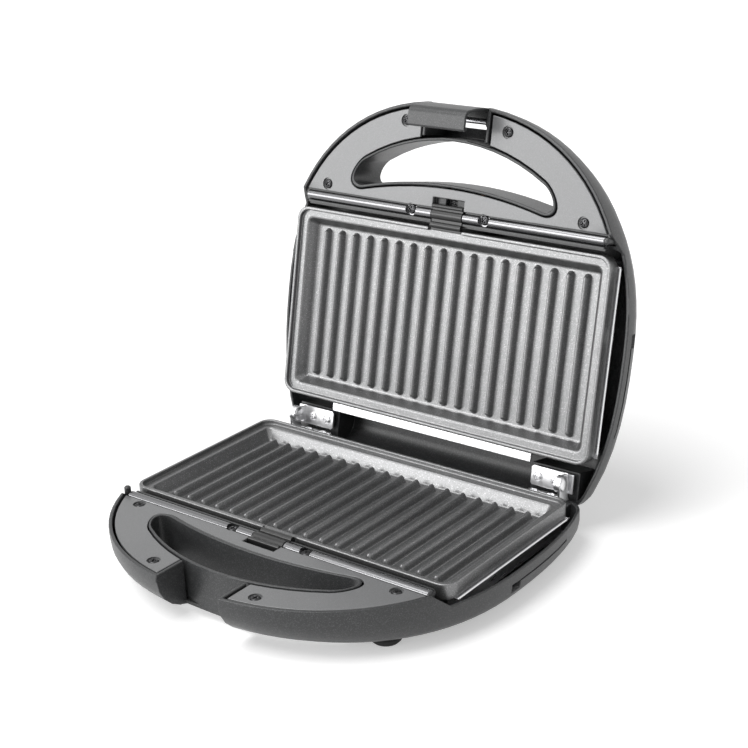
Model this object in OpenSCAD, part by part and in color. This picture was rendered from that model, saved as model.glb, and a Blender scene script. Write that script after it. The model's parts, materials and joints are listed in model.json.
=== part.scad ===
// Sandwich toaster with ribbed plates, shown open.
// Both halves are drawn in one "half frame": plate centre at the origin, the plate's
// lip in the plane z = 0, the half's body below it, its handle towards -Y.
// The base stands in that frame; the lid is the same frame mirrored and turned open.

/* [Plates] */
// Width of a plate
plate_w = 232; // [196:1:280]
// Depth of a plate from front to back
plate_d = 124; // [104:1:148]
// Corner radius of a plate
plate_r = 8; // [5:0.5:10]
// From the lip down to the pan's floor
pan_depth = 10.5; // [9:0.1:12]
// Width of the raised lip
lip_w = 2; // [1.6:0.1:2.4]
// From the lip down to the flat ring
ring_down = 2.8; // [2.4:0.1:3.3]
// From the plate's edge to the top of the pan wall
pan_inset = 7; // [6:0.1:8.5]
// Run of the sloping pan wall
pan_slope = 4; // [3:0.1:5]
// Thickness of the casting under the pan
plate_t = 2.4; // [2:0.1:3]
// Height of a plate's outer skirt
skirt_h = 9.3; // [8.4:0.1:9.8]
// Number of ribs
ribs = 18; // [12:1:20]
// From a side edge of the plate to the middle of the first rib
rib_side = 19.3; // [16:0.1:24]
// From the front edge of the plate to a rib's rounded end
rib_end = 13.2; // [12.5:0.1:18]
// Height of a rib over the floor
rib_h = 4.6; // [3.6:0.1:5.6]
// Width of a rib at its foot
rib_foot = 5; // [4.2:0.1:6.2]
// Width of a rib at its top
rib_top = 2.2; // [1.6:0.1:3]

/* [Housings] */
// From a plate's side edge to the widest point of the housing
side_gap = 11; // [9:0.5:14]
// From the plate's rear edge to the hinge axis
hinge_gap = 13; // [12.5:0.1:15.5]
// From the hinge axis to the base's rear wall
base_tail = 4.5; // [4:0.1:5]
// From the hinge axis to the lid's rear wall
lid_tail = 17; // [15:0.5:20]
// From the lip plane to the outer face of a housing
body_depth = 29; // [28:0.5:36]
// Wall of the moulded housings
wall = 2; // [1.6:0.1:2.4]
// Radius of the edge round the sides and the rear
side_round = 12; // [9:0.5:14]
// How far the edge under the handle arch is drawn in
front_round = 33; // [26:0.5:36]
// Height of that drawn-in edge
front_drop = 24; // [20:0.5:25]
// How far the side rims lie below the lip plane
side_rim = 10; // [9:0.1:12]
// How far the handle's rim lies below the lip plane
handle_rim = 0.4; // [0.2:0.1:0.9]

/* [Closing and opening] */
// Gap between the two plates' lips when the lid is shut
close_gap = 3; // [2.4:0.1:3.6]
// Angle from shut to fully open
open_deg = 102.2; // [90:0.1:103]

/* [Handle and cover panels] */
// From the rail's middle to the rear edge of the finger opening
hole_gap = 16.3; // [14.5:0.1:19.5]
// Depth of the finger opening on the centre line
hole_depth = 31.7; // [27:0.1:38]
// Half length of the finger opening
hole_half = 76; // [64:1:84]
// Radius of the opening's front edge
hole_front_r = 128; // [110:1:180]
// Radius of the opening's rear edge
hole_back_r = 280; // [200:5:500]
// From the opening's front edge to the tip of the arch
arch_w = 20.5; // [18:0.5:26]
// Black gap between a panel's edge and the housing's rim
panel_gap = 1.4; // [0.8:0.1:1.8]
// Thickness of a cover panel
panel_t = 2; // [1.7:0.1:2.4]
// How far the panels lie below the lip plane
panel_down = 1; // [0.8:0.1:1.2]
// Half width of the notch at the handle's centre
notch_half = 22; // [18:0.5:26]

/* [Rail and plate catch] */
// Radius of the half-round rail
rail_r = 3; // [2.5:0.1:3.5]
// From the plate's front edge to the rail's middle
rail_gap = 8; // [7.6:0.1:9.6]
// From the housing's widest point to the rail's end
rail_short = 17.5; // [17:0.5:22]
// Half width of the plate catch
catch_half = 11.2; // [9.4:0.1:13.4]
// Travel of the plate catch
catch_travel = 3.5; // [2.9:0.1:4.2]
// Running clearance of the moving pieces
run_gap = 0.3; // [0.25:0.05:0.35]

/* [Latch] */
// From the opening's front edge to the latch's pivot
latch_gap = 10.3; // [9.8:0.1:10.8]
// Depth of the latch's pivot in the lid, under the lip plane
latch_deep = 14; // [13:0.1:16]
// Wall of the latch
latch_t = 2; // [1.7:0.1:2.2]
// Radius of the latch's outer curl
latch_curl = 5; // [4.4:0.1:5.6]
// Depth of the base's ledge under the lip plane
ledge_down = 15; // [13.5:0.1:16]
// Gap between the ledge and the latch's bead when the lid is shut
ledge_gap = 0.4; // [0.3:0.05:0.6]
// Radius of the latch's pin
latch_pin_r = 1.5; // [1.2:0.1:1.8]

/* [Hinges] */
// From the housing's widest point to the lid's hinge ears
ear_gap = 27.5; // [27:0.5:34]
// Sheet thickness of the brackets
sheet = 1.5; // [1.2:0.1:1.8]
// Radius of a hinge ear
ear_r = 5.2; // [4.8:0.1:5.4]
// Radius of the hinge rivet
rivet_r = 2.2; // [1.8:0.1:2.7]
// Thickness of the washer between two ears
washer_t = 1; // [0.8:0.1:1.2]
// Depth of the lid bracket's plate under the lip plane
lid_bracket_down = 6; // [5.9:0.1:6.4]
// Depth of the base bracket's plate under the lip plane
base_bracket_down = 9; // [8.6:0.1:9.6]

/* [Feet and inlet] */
// Height of a foot
foot_h = 4; // [3:0.5:8]
// Radius of a foot
foot_r = 8.5; // [7:0.5:10]
// From the housing's widest point to a foot's middle
foot_side = 41; // [38:1:50]
// From the rail to the front feet
foot_front_gap = 8; // [4:0.5:12]
// From the hinge axis to the rear feet
foot_rear_gap = 18; // [17.5:0.5:26]
// Radius of the cable inlet's bore
inlet_r = 3; // [2.5:0.1:3.2]

/* [Hidden] */
$fn = 48;
tiny = 0.01;
far = 400;

// Colours, as the photo shows the finishes
housing_colour = [0.17, 0.17, 0.175];
panel_colour = [0.50, 0.51, 0.52];
plate_colour = [0.30, 0.30, 0.31];
bright_colour = [0.84, 0.84, 0.85];
screw_colour = [0.24, 0.24, 0.25];
dark_colour = [0.11, 0.11, 0.115];

// Where the frame's origin lies: on the table, under the middle of the open toaster
frame_y = 3.218;
lip_z = foot_h + body_depth;
hinge_z = close_gap / 2;

// Places that follow from the sizes, counted from the plate's centre
half_w = plate_w / 2 + side_gap;
hinge_y = plate_d / 2 + hinge_gap;
base_rear = hinge_y + base_tail;
lid_rear = hinge_y + lid_tail;
rail_y = plate_d / 2 + rail_gap;
rail_half = half_w - rail_short;
hole_back = rail_y + hole_gap;
hole_front = hole_back + hole_depth;
front_reach = hole_front + arch_w;
latch_y = hole_front + latch_gap;
ear_x = half_w - ear_gap;
foot_x = half_w - foot_side;
foot_front = rail_y + foot_front_gap;
foot_rear = hinge_y - foot_rear_gap;
rib_pitch = (plate_w - 2 * rib_side) / (ribs - 1);
rib_reach = plate_d / 2 - rib_end;

// Plan of a housing
waist_y = -5;
front_power = 2.3;
rear_power = 2.5;
rear_len = hinge_y + 73;
corner_r = 14;
corner_tilt = 20;
front_steps = 44;
side_steps = 6;
corner_steps = 5;

function signed_pow(v, p) = sign(v) * pow(abs(v), p);

function side_x(y, inset) =
    (half_w - inset) * pow(1 - pow((y - waist_y) / rear_len, rear_power), 1 / rear_power);

// Outline of a half at one height, drawn in by `side` at the sides and the rear and by
// `front` at the arch
function plan(side, front, rear) =
    let (
        arc_y = rear - side - corner_r,
        join_y = arc_y + corner_r * sin(corner_tilt),
        arc_x = side_x(join_y, side) - corner_r * cos(corner_tilt),
        front_len = front_reach + waist_y - front,
        arch = [for (i = [0 : front_steps]) let (a = 180 + 180 * i / front_steps) [
            (half_w - side) * signed_pow(cos(a), 2 / front_power),
            waist_y + front_len * signed_pow(sin(a), 2 / front_power)]],
        flank = [for (i = [1 : side_steps])
            let (y = waist_y + (join_y - waist_y) * i / side_steps) [side_x(y, side), y]],
        corner = [for (i = [1 : corner_steps])
            let (a = corner_tilt + (90 - corner_tilt) * i / corner_steps)
            [arc_x + corner_r * cos(a), arc_y + corner_r * sin(a)]],
        right = concat(flank, corner),
        n = len(right)
    )
    concat(arch, right, [for (i = [n - 1 : -1 : 0]) [-right[i][0], right[i][1]]]);

// How far a rounded edge of one radius is drawn in at depth z
function edge_in(z) =
    let (d = max(0, z - (body_depth - side_round)))
    side_round - sqrt(max(0, side_round * side_round - d * d));

// Finger opening, `grow` wider all round
function hole_front_y(x, grow) =
    hole_front_r - hole_front - grow - sqrt(pow(hole_front_r, 2) - x * x);
function hole_back_y(x, grow) =
    hole_back_r - hole_back + grow - sqrt(pow(hole_back_r, 2) - x * x);
hole_cap = 10;
hole_steps = 14;
cap_steps = 6;
function hole_plan(grow) =
    let (
        reach = hole_half + grow,
        flat = reach - hole_cap - grow,
        xs = concat(
            [for (i = [0 : hole_steps]) -flat + 2 * flat * i / hole_steps],
            [for (i = [1 : cap_steps]) flat + (reach - flat) * sin(90 * i / cap_steps)]),
        all_x = concat([for (i = [cap_steps : -1 : 1])
            -flat - (reach - flat) * sin(90 * i / cap_steps)], xs),
        full = [for (x = all_x) let (
            over = max(0, abs(x) - flat) / (reach - flat),
            mid = (hole_front_y(x, grow) + hole_back_y(x, grow)) / 2,
            half = (hole_back_y(x, grow) - hole_front_y(x, grow)) / 2
                * sqrt(max(0, 1 - over * over))) [x, mid - half, mid + half]],
        n = len(full)
    )
    concat([for (p = full) [p[0], p[1]]],
        [for (i = [n - 2 : -1 : 1]) [full[i][0], full[i][2]]]);

// Screws and their holes
head_r = 3;
shank_r = 1.25;
clear_r = 1.6;
counter_r = 3.9;
seat_t = 0.8;
panel_shank = 8;
rail_shank = 3;
bracket_shank = 9;
hole_spare = 1;
rail_hole = 2.6;
boss_r = 4;
post_r = 4.5;

// Places in the half frame
lip_seat = panel_down + panel_t;
tunnel_wall = 1.8;
hole_lip = 1;
rim_step_front = rail_y + 4;
rim_step_back = plate_d / 2 + 1;
screw_far = [half_w - 32.7, -rail_y - 8.5];
screw_near = [notch_half + 15, -hole_front - 6.5];
rail_screw = [catch_half + 15.7, -rail_y - 0.9];
rail_back = rail_y - rail_r;
panel_back = rail_y + rail_r + 1;
slot_front = rail_y + 6.9 + catch_travel;
peg_x = rail_half + 2.6;
peg_y = rail_y + 0.6;
peg_r = 2;
peg_top = close_gap + 0.2;
web_front = rail_back - 0.4;
web_top = 1.2;
web_step = 3.2;
web_shelf = web_step + 1.6;
web_under = web_step + 3.4;
web_foot = 14;
web_t = 1.2;
bar_t = 2.2;
bar_back = 1.2;
bar_front = 0.8;
notch_wall = 2;
notch_rim = 1.8;
notch_top_y = hole_front - hole_lip - 0.4;
ledge_y = hole_front + 12.4;
ledge_edge = 1.2;
lid_bar_y = hole_front + 5.6;
lid_bar_down = 4;
latch_bore_half = notch_half + notch_wall + 3;
pin_end_gap = 0.4;

// The catch's bed: its pocket, the groove for its tongue and the block round them
pocket_deep = 4.9;
groove_half = 4;
groove_floor = 8.9;
bed_side = 4.8;
bed_end = 1.4;
bed_deep = 10.6;

bracket_in = ear_x - 23;
bracket_front = hinge_y - 5;
bracket_screws = [ear_x - 18, ear_x - 6];
bracket_screw_y = hinge_y + 1.2;
base_bracket_back = hinge_y + 5.6;
lid_bracket_back = hinge_y + 7;
pivot_gap = 0.08;
rivet_head_r = 4.4;
rivet_head_h = 1.2;
base_ear_x = ear_x + sheet + washer_t;
stack_out = base_ear_x + sheet;
ear_room = 2.6;

reflector_t = 0.8;
reflector_half_w = plate_w / 2 - 4;
reflector_half_d = plate_d / 2 - 4;
reflector_floor = body_depth - 8;
strip_back = hinge_y - 6.7;
strip_down = 4;
strip_half = bracket_in - 0.5;
element_r = 3.3;
element_bend = plate_d / 2 - 30;
element_run = plate_w / 2 - 54;
post_x = plate_w / 2 - 24;
post_y = plate_d / 2 - 24;
inlet_x = -58;
inlet_deep = body_depth - 6.2;
inlet_wall = 1.7;
inlet_rim = 2.9;
lens_x = 12;
lens_y = -rail_y - 12.2;
lens_bore_h = 11.5;
lens_r = 4.2;
lens_wall = 1.6;

// Frames
module base_frame() translate([0, -frame_y, lip_z]) children();
module lid_frame()
    base_frame()
        translate([0, hinge_y, hinge_z])
            rotate([-open_deg, 0, 0])
                translate([0, -hinge_y, -hinge_z])
                    translate([0, 0, close_gap])
                        mirror([0, 0, 1])
                            children();

module along_x(width) rotate([90, 0, 90]) linear_extrude(height = width, center = true) children();
module both_sides() {
    children();
    mirror([1, 0, 0]) children();
}
module rod_x(r, x0, x1) translate([x0, 0, 0]) rotate([0, 90, 0]) cylinder(r = r, h = x1 - x0);

// Outer form of a half, or its hollow when `inset` is the wall
body_steps = 6;
module body_form(rear, inset) {
    levels = concat(
        [for (i = [body_steps : -1 : 0]) let (a = 90 * i / body_steps)
            [inset - body_depth + front_drop * (1 - sin(a)), front_round * (1 - cos(a))]],
        [[inset + 1, 0]]);
    rings = [for (l = levels) plan(edge_in(inset - l[0]) + inset, l[1] + inset, rear)];
    n = len(rings[0]);
    top = len(levels) - 1;
    skin = [for (j = [0 : top - 1], k = [0 : n - 1], half = [0, 1])
        let (p = j * n, q = p + n, m = (k + 1) % n)
        half == 0 ? [p + k, q + k, q + m] : [p + k, q + m, p + m]];
    polyhedron(
        points = [for (j = [0 : top], p = rings[j]) [p[0], p[1], levels[j][0]]],
        faces = concat(skin, [[for (k = [0 : n - 1]) k]],
            [[for (k = [n - 1 : -1 : 0]) top * n + k]]),
        convexity = 4);
}

// Everything under the rim: high at the handle, low round the plate
module under_rim()
    along_x(far)
        polygon([[-far, -handle_rim], [-rim_step_front, -handle_rim],
            [-rim_step_back, -side_rim], [far, -side_rim], [far, -far], [-far, -far]]);

module block(x0, x1, y0, y1, z0, z1)
    translate([x0, y0, z0]) cube([x1 - x0, y1 - y0, z1 - z0]);

// What stays inside the hollow of a housing
module housing_ribs(rear, is_lid) {
    translate([0, 0, -far]) linear_extrude(height = far) polygon(hole_plan(-hole_lip));
    // cross-bar that carries the rail, the panel's rear edge and the catch
    block(-far, far, -panel_back - 4, -rail_back + bar_back, -lip_seat - bar_t, -lip_seat);
    block(-far, far, -rail_back - bar_front, -rail_back + bar_back, -far, -lip_seat);
    bed_block();
    both_sides() {
        block(notch_half, notch_half + notch_wall, -far, -notch_top_y, -far, 0);
        for (p = [screw_far, screw_near])
            translate([p[0], p[1], -far]) cylinder(r = boss_r, h = far - lip_seat);
        block(bracket_in - 2, ear_x + 8, bracket_front - 1, rear,
            -far, -bracket_depth(is_lid) - sheet);
        for (side = [-1, 1])
            translate([post_x, side * post_y, -far])
                cylinder(r = post_r, h = far - reflector_floor - reflector_t);
    }
    if (is_lid) at_lenses() lens_tube(lens_r + lens_wall, 0);
}

module at_lenses() for (side = [-1, 1]) translate([side * lens_x, lens_y, 0]) children();
module lens_tube(r, over)
    translate([0, 0, -far]) cylinder(r = r, h = far - body_depth + lens_bore_h + over);

// The catch's bed: a pocket under the catch and a groove for its tongue and spring
module catch_bed() {
    block(-catch_half - run_gap, catch_half + run_gap, -slot_front, 0, -pocket_deep, 10);
    block(-groove_half, groove_half, -spring_front - 0.2, -rail_back + 0.9,
        -groove_floor, -pocket_deep + 0.9);
}
module bed_block()
    block(-catch_half - bed_side, catch_half + bed_side, -spring_front - bed_end,
        -rail_back + bar_t, -bed_deep, -lip_seat);

// Base notch: a sloping recess that ends in the latch's ledge
module base_notch_solid()
    along_x(2 * notch_half + tiny)
        polygon([[-notch_top_y + notch_rim, -handle_rim], [-notch_top_y, -handle_rim],
            [-ledge_y, -ledge_down + ledge_edge], [-ledge_y, -ledge_down],
            [-notch_top_y, -ledge_down], [-notch_top_y, -far],
            [-notch_top_y + notch_rim, -far]]);

// Lid notch: only the bar behind the latch is left
module lid_notch_solid()
    along_x(2 * notch_half + tiny)
        polygon([[-notch_top_y + notch_rim, -handle_rim], [-notch_top_y, -handle_rim],
            [-lid_bar_y, -lid_bar_down], [-lid_bar_y, -far], [-notch_top_y + notch_rim, -far]]);

module screw_hole(p, z, depth)
    translate([p[0], p[1], z - depth]) cylinder(r = shank_r, h = depth + 1);

module housing(rear, is_lid) {
    difference() {
        intersection() {
            body_form(rear, 0);
            under_rim();
        }
        difference() {
            body_form(rear, wall);
            housing_ribs(rear, is_lid);
        }
        // finger opening
        translate([0, 0, -far]) linear_extrude(height = 2 * far)
            polygon(hole_plan(-hole_lip - tunnel_wall));
        // notch for the latch
        difference() {
            block(-notch_half, notch_half, -far, -notch_top_y + notch_rim - tiny, -far, far);
            if (is_lid) lid_notch_solid(); else base_notch_solid();
        }
        catch_bed();
        both_sides() {
            for (p = [screw_far, screw_near])
                screw_hole(p, -lip_seat, panel_shank + hole_spare);
            screw_hole(rail_screw, -lip_seat, rail_hole);
            for (x = bracket_screws)
                screw_hole([x, bracket_screw_y], -bracket_depth(is_lid) - sheet, bracket_shank);
            side_notch(rear);
            // room for the bracket's plate, the hinge ears and the rivets
            block(bracket_in - run_gap, stack_out + ear_room, bracket_front - 1, rear + 1,
                -bracket_depth(is_lid) - sheet, far);
        }
        if (is_lid) {
            at_lenses() lens_tube(lens_r, tiny);
            translate([0, -latch_y, -latch_deep])
                rod_x(latch_pin_r, -latch_bore_half, latch_bore_half);
        } else {
            translate([inlet_x, rear, -inlet_deep]) rotate([90, 0, 0])
                cylinder(r = inlet_r + inlet_wall, h = 3 * inlet_boss_l, center = true);
            base_vents();
        }
    }
}

function bracket_depth(is_lid) = is_lid ? lid_bracket_down : base_bracket_down;

// Short notch in the side wall and the fine groove that runs on from it
notch_side = [-17.5, -9.5];
notch_side_z = 16;
notch_side_h = 5;
notch_side_deep = 6;
groove_end = plate_d / 2 - 17.5;
groove_deep = 0.5;
groove_h = 0.8;
module side_notch(rear) {
    block(half_w - notch_side_deep, far, notch_side[0], notch_side[1],
        -notch_side_z - notch_side_h, -notch_side_z);
    translate([0, 0, -notch_side_z - 0.75 * groove_h])
        linear_extrude(height = groove_h)
            difference() {
                translate([half_w / 2, notch_side[1] - 1])
                    square([far, groove_end - notch_side[1] + 1]);
                polygon(plan(groove_deep, groove_deep, rear));
            }
}

// Bar under the rail, with a stepped web towards the plate and the catch's bed
module front_bar()
    difference() {
        union() {
            along_x(2 * rail_half)
                polygon([[-rim_step_front, -lip_seat - bar_t], [-rim_step_front, -lip_seat],
                    [-web_front, -lip_seat], [-web_front, -web_top],
                    [-web_front + web_t, -web_top], [-web_front + web_t, -web_step],
                    [-web_front + 2 * web_t, -web_step], [-web_front + 2 * web_t, -web_shelf],
                    [-rail_back + bar_back, -web_under], [-rail_back + bar_back, -web_foot],
                    [-rail_back - bar_front, -web_foot],
                    [-rail_back - bar_front, -lip_seat - bar_t]]);
            bed_block();
        }
        catch_bed();
        both_sides() screw_hole(rail_screw, -lip_seat, rail_hole);
    }

// Locating peg beside one end of the rail
module peg(side)
    translate([side * peg_x, -peg_y, -lip_seat - 1])
        rotate_extrude()
            polygon([[0, 0], [peg_r, 0], [peg_r, lip_seat + peg_top],
                [peg_r - 0.6, lip_seat + peg_top + 0.7], [0, lip_seat + peg_top + 1]]);

// Ventilation slots in the base's underside
vents = 9;
vent_pitch = 13;
vent_w = 2.5;
vent_half = plate_d / 2 - 32;
module base_vents()
    for (i = [0 : vents - 1])
        translate([(i - (vents - 1) / 2) * vent_pitch, 0, 0])
            block(-vent_w / 2, vent_w / 2, -vent_half, vent_half, -far, -body_depth + wall + 0.6);

module inlet_boss()
    intersection() {
        translate([inlet_x, base_rear - inlet_boss_l, -inlet_deep]) rotate([-90, 0, 0])
            difference() {
                cylinder(r = inlet_r + inlet_rim, h = inlet_boss_l);
                translate([0, 0, -1]) cylinder(r = inlet_r + inlet_wall, h = inlet_boss_l + 2);
            }
        body_floor();
    }
inlet_boss_l = 7;
module body_floor() block(-far, far, -far, far, -body_depth + 0.4, 0);

module base_housing() color(housing_colour) base_frame() {
    housing(base_rear, false);
    front_bar();
    peg(-1);
    inlet_boss();
    foot_pads();
}
module lid_housing() color(housing_colour) lid_frame() {
    housing(lid_rear, true);
    front_bar();
    peg(1);
}

module at_feet() both_sides() for (y = [-foot_front, foot_rear]) translate([foot_x, y]) children();
module foot_pads()
    at_feet() translate([0, 0, -body_depth]) cylinder(r = foot_r - 0.8, h = 2 * wall);

// Feet: rubber pads with a stepped edge
module base_feet() color(dark_colour) base_frame()
    at_feet() translate([0, 0, -lip_z])
        rotate_extrude()
            polygon([[0, 0], [foot_r - 1.2, 0], [foot_r, 1.2], [foot_r, foot_h - 1],
                [foot_r - 0.8, foot_h], [0, foot_h]]);

// Counterbore and hole for a cross-recessed screw in a panel or a rail
module screw_room(p) {
    translate([p[0], p[1], -lip_seat + seat_t]) cylinder(r = counter_r, h = 10);
    translate([p[0], p[1], -lip_seat - 1]) cylinder(r = clear_r, h = 10);
}

// Cover panel round the finger opening
panel_notch = 3.5;
module panel() {
    difference() {
        translate([0, 0, -lip_seat])
            linear_extrude(height = panel_t)
                difference() {
                    intersection() {
                        polygon(plan(wall + panel_gap, wall + panel_gap, lid_rear));
                        translate([-far, -far]) square([2 * far, far - panel_back]);
                    }
                    polygon(hole_plan(0));
                    translate([-notch_half - panel_notch, -far])
                        square([2 * (notch_half + panel_notch), far - notch_top_y + 3]);
                    translate([-catch_half - run_gap, -slot_front])
                        square([2 * (catch_half + run_gap), far]);
                }
        both_sides()
            for (p = [screw_far, screw_near, rail_screw]) screw_room(p);
    }
}
module base_panel() color(panel_colour) base_frame() panel();
module lid_panel() color(panel_colour) lid_frame() panel();

// Cross-recessed screw, its head's seat at z = 0
module screw(shank) {
    difference() {
        union() {
            rotate_extrude()
                polygon([[0, 0], [head_r - 0.1, 0], [head_r, 0.35], [head_r - 0.35, 0.95],
                    [head_r - 1.1, 1.25], [0, 1.35]]);
            translate([0, 0, -shank]) cylinder(r = shank_r, h = shank + 0.4);
        }
        for (a = [0, 90]) rotate([0, 0, a]) block(-1.7, 1.7, -0.4, 0.4, 0.45, 3);
    }
}
module panel_screws()
    both_sides() {
        for (p = [screw_far, screw_near])
            translate([p[0], p[1], -lip_seat + seat_t]) screw(panel_shank);
        translate([rail_screw[0], rail_screw[1], -lip_seat + seat_t]) screw(rail_shank);
    }
module base_panel_screws() color(screw_colour) base_frame() panel_screws();
module lid_panel_screws() color(screw_colour) lid_frame() panel_screws();

module bracket_screws_half(is_lid)
    both_sides()
        for (x = bracket_screws)
            translate([x, bracket_screw_y, -bracket_depth(is_lid)]) screw(bracket_shank);
module base_bracket_screws() color(bright_colour) base_frame() bracket_screws_half(false);
module lid_bracket_screws() color(bright_colour) lid_frame() bracket_screws_half(true);

// Half-round rail in two lengths, either side of the catch
rail_end_gap = 0.6;
module rail()
    both_sides()
        difference() {
            translate([(catch_half + rail_half + rail_end_gap) / 2, 0, 0])
                along_x(rail_half - catch_half - rail_end_gap)
                    intersection() {
                        translate([-rail_y, -lip_seat]) circle(r = rail_r);
                        translate([-rail_y - rail_r, -lip_seat]) square([2 * rail_r, rail_r]);
                    }
            screw_room(rail_screw);
        }
module base_rail() color(bright_colour) base_frame() rail();
module lid_rail() color(bright_colour) lid_frame() rail();

// Rounded rectangle, drawn in from the plate's edge
module plate_plan(inset) {
    w = plate_w / 2 - inset;
    d = plate_d / 2 - inset;
    r = max(1, plate_r - inset * 0.6);
    square([2 * w, 2 * d - 2 * r], center = true);
    square([2 * w - 2 * r, 2 * d], center = true);
    for (x = [-1, 1], y = [-1, 1]) translate([x * (w - r), y * (d - r)]) circle(r = r, $fn = 32);
}
module plate_slab(inset, z0, z1) translate([0, 0, z0]) linear_extrude(height = z1 - z0) plate_plan(inset);

module rib() {
    half = rib_reach - rib_foot / 2;
    rotate([90, 0, 0])
        linear_extrude(height = 2 * half, center = true)
            polygon([[-rib_foot / 2, 0], [rib_foot / 2, 0], [rib_top / 2, rib_h], [-rib_top / 2, rib_h]]);
    for (side = [-1, 1])
        translate([0, side * half, 0]) cylinder(r1 = rib_foot / 2, r2 = rib_top / 2, h = rib_h, $fn = 32);
}

module plate() {
    under = pan_depth + plate_t;
    difference() {
        union() {
            plate_slab(0, -skirt_h, 0);
            plate_slab(pan_inset - plate_t + 0.6, -under, -skirt_h + tiny);
        }
        plate_slab(lip_w, -ring_down, 5);
        hull() {
            plate_slab(pan_inset + pan_slope, -pan_depth, -pan_depth + tiny);
            plate_slab(pan_inset, -ring_down, -ring_down + 1);
        }
        // hollow inside the skirt
        difference() {
            plate_slab(plate_t, -skirt_h - 1, -ring_down - plate_t);
            plate_slab(pan_inset - plate_t + 0.6, -far, 0);
        }
        // step in the front lip, where the catch comes over it
        block(-catch_half - 1.2, catch_half + 1.2, -far, -plate_d / 2 + 3.6, -ring_down, 5);
    }
    translate([0, 0, -pan_depth])
        for (i = [0 : ribs - 1]) translate([(i - (ribs - 1) / 2) * rib_pitch, 0, 0]) rib();
}
module base_plate() color(plate_colour) base_frame() plate();
module lid_plate() color(plate_colour) lid_frame() plate();

// Sheet reflector: a pan with flanges under the plate's skirt and a strip at the rear
module reflector() {
    w = reflector_half_w;
    d = reflector_half_d;
    flange_w = plate_w / 2 + 1.5;
    difference() {
        union() {
            block(-w, w, -d, d, -reflector_floor - reflector_t, -skirt_h);
            block(-w, w, -d - 2, d, -skirt_h - reflector_t, -skirt_h);
            block(-flange_w, flange_w, -d + 2, d, -skirt_h - reflector_t, -skirt_h);
        }
        block(-w + reflector_t, w - reflector_t, -d + reflector_t, d - reflector_t,
            -reflector_floor, 0);
    }
    // rolled ends of the side flanges
    both_sides() translate([flange_w - 0.6, 0, -skirt_h - reflector_t / 2])
        rotate([90, 0, 0]) cylinder(r = 0.9, h = 2 * d - 6, center = true, $fn = 16);
    // rear strip
    block(-strip_half, strip_half, d, plate_d / 2 + 2, -skirt_h - reflector_t, -skirt_h);
    block(-strip_half, strip_half, plate_d / 2 + 1.2, plate_d / 2 + 2, -skirt_h, -strip_down);
    block(-strip_half, strip_half, plate_d / 2 + 1.2, strip_back,
        -strip_down - reflector_t, -strip_down);
}
module base_reflector() color(bright_colour) base_frame() reflector();
module lid_reflector() color(bright_colour) lid_frame() reflector();

// Tubular heating element: two runs, one bend, two cold ends down through the reflector
module element() {
    z = -pan_depth - plate_t - element_r;
    for (side = [-1, 1]) {
        translate([0, side * element_bend, z]) rod_x(element_r, -element_run, element_run);
        translate([-element_run, side * element_bend, z]) sphere(r = element_r, $fn = 24);
        translate([-element_run, side * element_bend, -reflector_floor])
            cylinder(r = element_r - 0.8, h = z + reflector_floor);
    }
    translate([element_run, 0, z])
        rotate([0, 0, -90]) rotate_extrude(angle = 180)
            translate([element_bend, 0]) circle(r = element_r, $fn = 24);
}
module base_element() color(bright_colour) base_frame() element();
module lid_element() color(bright_colour) lid_frame() element();

// Plate catch: a lip over the plate's ring, a barrel in the rail's line, a thumb grip in the slot
grip_y = rail_y + 6.4;
catch_bite = 1.8;
catch_ridge_y = plate_d / 2 + 1.6;
catch_ridge_r = 2;
module catch() {
    lip_y = plate_d / 2 - catch_bite;
    lip_z0 = -ring_down + run_gap;
    along_x(2 * catch_half) {
        translate([-rail_back - 1, lip_z0]) square([rail_back + 1 - lip_y, 1.2]);
        // ridge over the plate's edge
        intersection() {
            translate([-catch_ridge_y, lip_z0 + 0.9]) circle(r = catch_ridge_r, $fn = 24);
            translate([-catch_ridge_y - catch_ridge_r, lip_z0]) square(2 * catch_ridge_r);
        }
        // barrel, a little fatter than the rail
        intersection() {
            translate([-rail_y, -lip_seat]) circle(r = rail_r + 0.3);
            translate([-rail_y - rail_r - 0.3, -lip_seat]) square([2 * rail_r + 0.6, rail_r + 0.3]);
        }
        translate([-grip_y, -4.6]) square([grip_y - rail_back, 2.2]);
        translate([-grip_y, -2.6]) square([4, 1.2]);
        // ridge for the thumb
        translate([-grip_y + 1.2, -1.3]) circle(r = 1.2, $fn = 24);
    }
    block(-3.6, 3.6, -rail_back - 2.4, -rail_back + 0.6, -8.6, -4.4);
}
module base_catch() color(dark_colour) base_frame() catch();
module lid_catch() color(dark_colour) lid_frame() catch();

// Catch spring: one unbroken wire coil along Y behind the catch's tongue
spring_r = 1.5;
wire_r = 0.3;
spring_turns = 6;
spring_front = rail_y + 9.9 + catch_travel;
spring_back = rail_back + 2.7;
function ring_point(t, a) =
    let (turn = 360 * spring_turns * t, r = spring_r + wire_r * cos(a))
    [r * cos(turn), -spring_front + wire_r + (spring_front - spring_back - 2 * wire_r) * t
        + wire_r * sin(a), r * sin(turn) - 6.8];
module spring() {
    rings = spring_turns * 12;
    sides = 6;
    points = [for (i = [0 : rings], k = [0 : sides - 1]) ring_point(i / rings, 360 * k / sides)];
    skin = [for (i = [0 : rings - 1], k = [0 : sides - 1], half = [0, 1])
        let (p = i * sides, q = p + sides, m = (k + 1) % sides)
        half == 0 ? [p + k, q + k, q + m] : [p + k, q + m, p + m]];
    ends = [for (k = [1 : sides - 2], end = [0, 1])
        let (e = rings * sides) end == 0 ? [0, k, k + 1] : [e, e + k + 1, e + k]];
    polyhedron(points = points, faces = concat(skin, ends), convexity = 8);
}
module base_catch_spring() color(bright_colour) base_frame() spring();
module lid_catch_spring() color(bright_colour) lid_frame() spring();

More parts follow.
